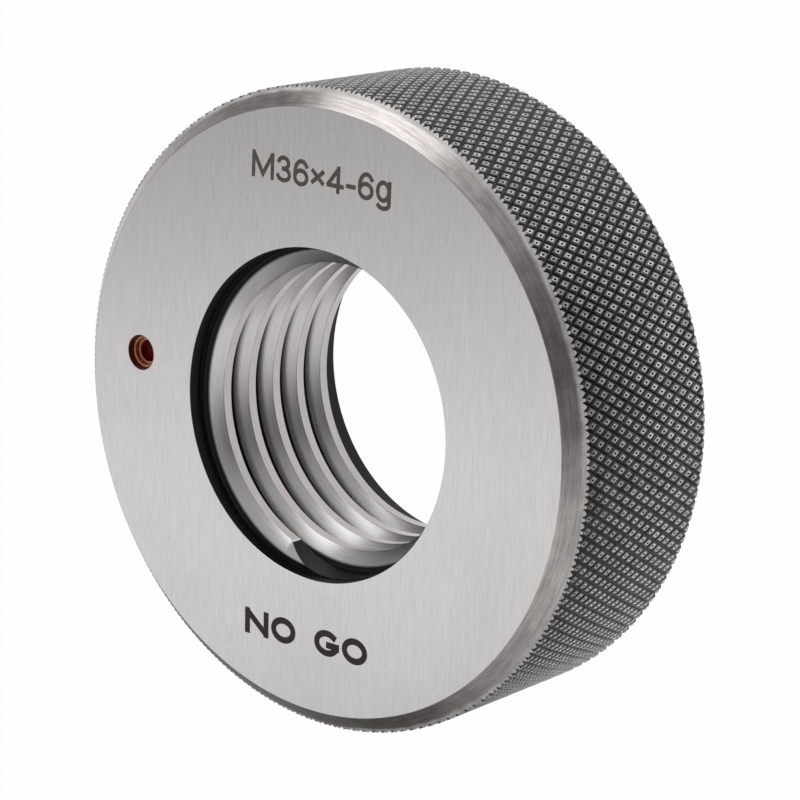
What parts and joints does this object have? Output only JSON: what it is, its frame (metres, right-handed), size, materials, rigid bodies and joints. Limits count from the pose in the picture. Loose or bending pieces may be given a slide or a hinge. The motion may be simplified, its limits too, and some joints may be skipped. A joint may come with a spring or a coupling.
{
  "type": "thread ring gauge",
  "caption": "Round knurled steel ring with a threaded bore between two plain recesses, bevelled edges and a red lacquered marker in one ground face.",
  "frame": {"origin": "centre of the plain back face, which the ring lies on", "axes": "+Z along the bore out of the marked face, -X through the marker's centre"},
  "size_m": [0.0702, 0.0702, 0.024],
  "materials": {
    "ground_steel": "ground faces and thread, blackened knurl",
    "marker_lacquer": "dark red glossy lacquer"
  },
  "bodies": {
    "root": {"gauge_ring": "ground_steel", "marker_lacquer": "marker_lacquer"}
  },
  "joints": []
}
